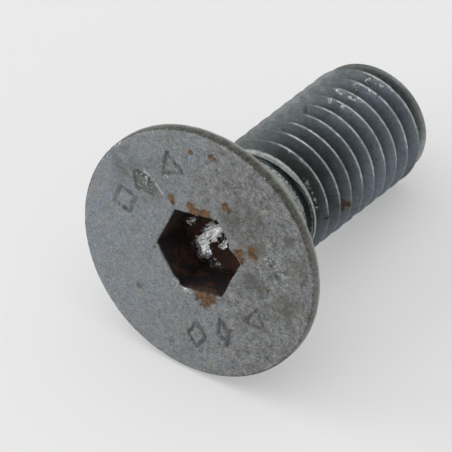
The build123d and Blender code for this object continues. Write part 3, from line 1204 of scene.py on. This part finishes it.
def pitsAndStains(steel, base):
    do, times, level, blend = steel.do, steel.times, steel.level, steel.blend
    scuffs = []
    for turn, seed in steelScuffs["ways"]:
        combing = (None, (0, 0, turn), steelScuffs["scale"])
        combed = steel.add("ShaderNodeMapping", steel.place, *combing).outputs[0]
        scuffs.append(level(steel.noise(combed, 1.0, seed, 2.0)[0], "scuffs"))
    base = blend(times(steel.pits, steelAmounts["pits"]), base, "pit")
    # painted glints, and bright scratches combed two ways
    paintedGlints = times(steel.shown("paintedGlints"), steelAmounts["paintedGlints"])
    scratchesAndGlints = do("MAXIMUM", paintedGlints, times(do("MAXIMUM", *scuffs), steelAmounts["scuffs"]))
    base = blend(times(scratchesAndGlints, steel.textured), base, "scratchAndGlint")
    base = blend(times(steel.noted("stain"), steel.shown("stains")), base, "stain")
    base = blend(times(steel.noted("stamp"), level(steel.mottle, "stamp")), base, "stamp")
    # the tail is duller
    onTail = times(steel.edge(steel.z, "tail"), steel.onShank)
    return blend(times(onTail, level(steel.scuffing, "tail")), base, "tail")


def wearAndHighlights(steel, base):
    # crest lines, edges, scratches and torn flakes, and where the metal is bare, with painted highlights:
    # along the tip's last edge, on the neck and inside the ring, and in part on the crests towards one side
    # and along the rim's back edge
    do, times, level, blend, noted = steel.do, steel.times, steel.level, steel.blend, steel.noted
    # painted highlight along the tip's last edge
    lastEdgeHighlight = times(steel.edge(steel.z, "lastEdgeHighlight"), steel.edge(steel.rho, "endFaceEdge"))
    bareAndHighlit = do("MAXIMUM", noted("bareAndHighlit"), times(lastEdgeHighlight, level(steel.mottle, "lastEdgeHighlight")))
    base = blend(bareAndHighlit, base, "bareMetalAndHighlight")
    # crest lines worn bright and fading away from one side: partly wear, partly painted highlight
    crest = times(noted("crestLine"), level(steel.side("rubbedAndLit"), "rubbedAndLit"), steel.shown("crests"))
    base = blend(crest, base, "rubbedAndLit")
    # bright torn flakes, partly painted glints
    flaked = do("MULTIPLY_ADD", do("SUBTRACT", noted("flakesAndGlints"), 1.0), 0.3, steel.pattern("flakes"))
    flaked = times(level(flaked, "flakes"), level(noted("flakesAndGlints"), "flakesAndGlints"))
    return blend(flaked, base, "flake"), do("MAXIMUM", bareAndHighlit, crest)


def darkeningAndRust(steel, base):
    do, times, blend, noted = steel.do, steel.times, steel.blend, steel.noted
    darkened = noted("darkened")
    base = blend(darkened, base, blend(steel.shown("darkened"), "darkened", "darkenedBrown"))
    rustNoise = steel.pattern("rust")
    rusty = do("ADD", noted("rust"), times(do("SUBTRACT", rustNoise, 0.5), 3.0))
    rusty = steel.level(rusty, "rust")
    rustColour = blend(steel.shown("rustHue"), "rustDark", "rustBright")
    rustColour = blend(times(steel.onShank, steelAmounts["shankRust"]), rustColour, "rustDark")
    rustColour = blend(darkened, rustColour, "socketRust")
    halo = steel.level(do("ADD", noted("rust"), do("SUBTRACT", steel.mottle, 0.5)), "rustHalo")
    base = blend(times(halo, steelAmounts["rustHalo"]), base, "rustHalo")
    base = blend(times(rusty, steelAmounts["rust"]), base, rustColour)
    return base, darkened, rusty, times(rustNoise, times(rusty, steelAmounts["rustHeight"]))


def tornSilver(steel, base):
    # bright metal torn at the socket's floor
    do, level, blend = steel.do, steel.level, steel.blend
    polish = steel.noted("polish")
    torn = do("ADD", polish, steel.times(do("SUBTRACT", steel.pattern("torn"), 0.5), 3.0))
    torn = steel.times(level(torn, "torn"), level(polish, "polish"))
    silvery = blend(level(steel.mottle, "silver"), "dullSilver", "silver")
    silvery = blend(level(polish, "tarnish"), "tarnish", silvery)
    return blend(torn, base, silvery), torn


def steelMaterial():
    material = bpy.data.materials.new("phosphatedSteel")
    material.use_nodes = True
    shader = material.node_tree.nodes["Principled BSDF"]
    steel = steelMaker(material.node_tree)
    do, times, amounts = steel.do, steel.times, steelAmounts
    base = pitsAndStains(steel, unevenTone(steel, finishAndPaintedLight(steel)))
    base, bareAndHighlit = wearAndHighlights(steel, base)
    base, darkened, rusty, rustHeight = darkeningAndRust(steel, base)
    base, torn = tornSilver(steel, base)
    steel.feed(shader.inputs["Base Color"], base)

    dull = times(do("MAXIMUM", rusty, darkened), do("SUBTRACT", 1.0, torn))
    steely = do("MAXIMUM", times(bareAndHighlit, amounts["bareMetallic"]), times(torn, amounts["tornMetallic"]))
    steely = do("MAXIMUM", steel.level(steel.onShank, "metallic"), steely)
    steel.feed(shader.inputs["Metallic"], times(steely, do("SUBTRACT", 1.0, dull)))
    smoother = times(do("MAXIMUM", bareAndHighlit, torn), amounts["polished"])
    roughness = do("SUBTRACT", steel.level(steel.grain, "roughness"), smoother)
    roughness = do("MAXIMUM", roughness, times(dull, amounts["dullRoughness"]))
    steel.feed(shader.inputs["Roughness"], roughness)

    height = do("ADD", times(steel.grain, amounts["grainHeight"]), rustHeight)
    height = do("SUBTRACT", height, times(steel.pits, amounts["pitHeight"]))
    lumps = times(steel.mottle, amounts["mottleHeight"])
    lumps = do("MULTIPLY_ADD", steel.scuffing, amounts["scuffingHeight"], lumps)
    unevenness = times(steel.roughSide, do("SUBTRACT", 1.0, steel.onShank))
    height = do("MULTIPLY_ADD", lumps, unevenness, height)
    height = times(height, do("MULTIPLY_ADD", torn, amounts["tornHeight"], 1.0))
    bump = steel.add("ShaderNodeBump", steelAmounts["bumpStrength"], steelAmounts["bumpDistance"])
    steel.feed(bump.inputs["Height"], height)
    steel.feed(shader.inputs["Normal"], bump.outputs[0])
    return material


applyTree(blank, rollThreadTree(), {**threadInputs, "Material": steelMaterial()})
print("thread rolled")

blank.data.transform(layDown)
blank.data.shade_smooth()
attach(blank, "root")
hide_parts("screw")
print("triangles", sum(len(p.vertices) - 2 for p in blank.data.polygons))

paper = {
    "halfSize": 2,  # m
    "shade": (0.865, 0.865, 0.865, 1),
    "roughness": 0.9,
    "glow": 0.35,  # the part of its paleness that is its own, so that shadows stay soft
}
lamps = {
    "windowLight": {"place": (-0.95, -0.25, 0.5), "size": 1.0, "power": 4.5},
    "frontLight": {"place": (-0.45, -0.9, 0.4), "size": 0.7, "power": 2.2},
    "ceilingLight": {"place": (0.0, 0.1, 1.0), "size": 1.4, "power": 4.0},
}
studio = {"shade": (0.45, 0.45, 0.45, 1)}
camera = {
    "place": (187.99, -284.65, 350.07),  # mm
    "forward": (-0.39191, 0.58074, -0.71355),
    "lens": 652.6,
    "sensor": 36,
    "clip": (0.02, 10),  # m
}


def paperMaterial():
    material = bpy.data.materials.new("paper")
    material.use_nodes = True
    nodes = material.node_tree.nodes
    maker = nodeMaker(material.node_tree)
    shader = nodes["Principled BSDF"]
    shader.inputs["Base Color"].default_value = paper["shade"]
    shader.inputs["Roughness"].default_value = paper["roughness"]
    glow = maker.add("ShaderNodeEmission", paper["shade"]).outputs[0]
    rays = maker.add("ShaderNodeLightPath").outputs
    seen = maker.do("MAXIMUM", rays["Is Camera Ray"], rays["Is Glossy Ray"])
    seen = maker.do("MAXIMUM", seen, rays["Is Transmission Ray"])
    mixed = maker.add("ShaderNodeMixShader", maker.times(seen, paper["glow"]), shader.outputs[0], glow)
    maker.feed(nodes["Material Output"].inputs["Surface"], mixed.outputs[0])
    return material


def layPaper():
    r = paper["halfSize"]
    floorMesh = bpy.data.meshes.new("paperFloor")
    floorMesh.from_pydata([(-r, -r, 0), (r, -r, 0), (r, r, 0), (-r, r, 0)], [], [(0, 1, 2, 3)])
    floorMesh.materials.append(paperMaterial())
    floor = bpy.data.objects.new("paperFloor", floorMesh)
    bpy.context.scene.collection.objects.link(floor)
    return floor


def hangLamp(name, place, size, power):
    data = bpy.data.lights.new(name, "AREA")
    data.shape = "DISK"
    data.size = size
    data.energy = power
    lamp = bpy.data.objects.new(name, data)
    bpy.context.scene.collection.objects.link(lamp)
    lamp.location = place
    lamp.rotation_euler = (-Vector(place)).to_track_quat("-Z", "Y").to_euler()


def setCamera():
    data = bpy.data.cameras.new("camera")
    data.lens = camera["lens"]
    data.sensor_width = camera["sensor"]
    data.clip_start, data.clip_end = camera["clip"]
    eye = bpy.data.objects.new("camera", data)
    eye.location = Vector(camera["place"]) * mm
    eye.rotation_euler = Vector(camera["forward"]).to_track_quat("-Z", "Y").to_euler()
    bpy.context.scene.collection.objects.link(eye)
    bpy.context.scene.camera = eye


floor = layPaper()
for name, lamp in lamps.items():
    hangLamp(name, **lamp)
world = bpy.data.worlds.new("studio")
bpy.context.scene.world = world
world.use_nodes = True
world.node_tree.nodes["Background"].inputs["Color"].default_value = studio["shade"]
setCamera()
bpy.context.scene.view_settings.view_transform = "Standard"
print("stage set")
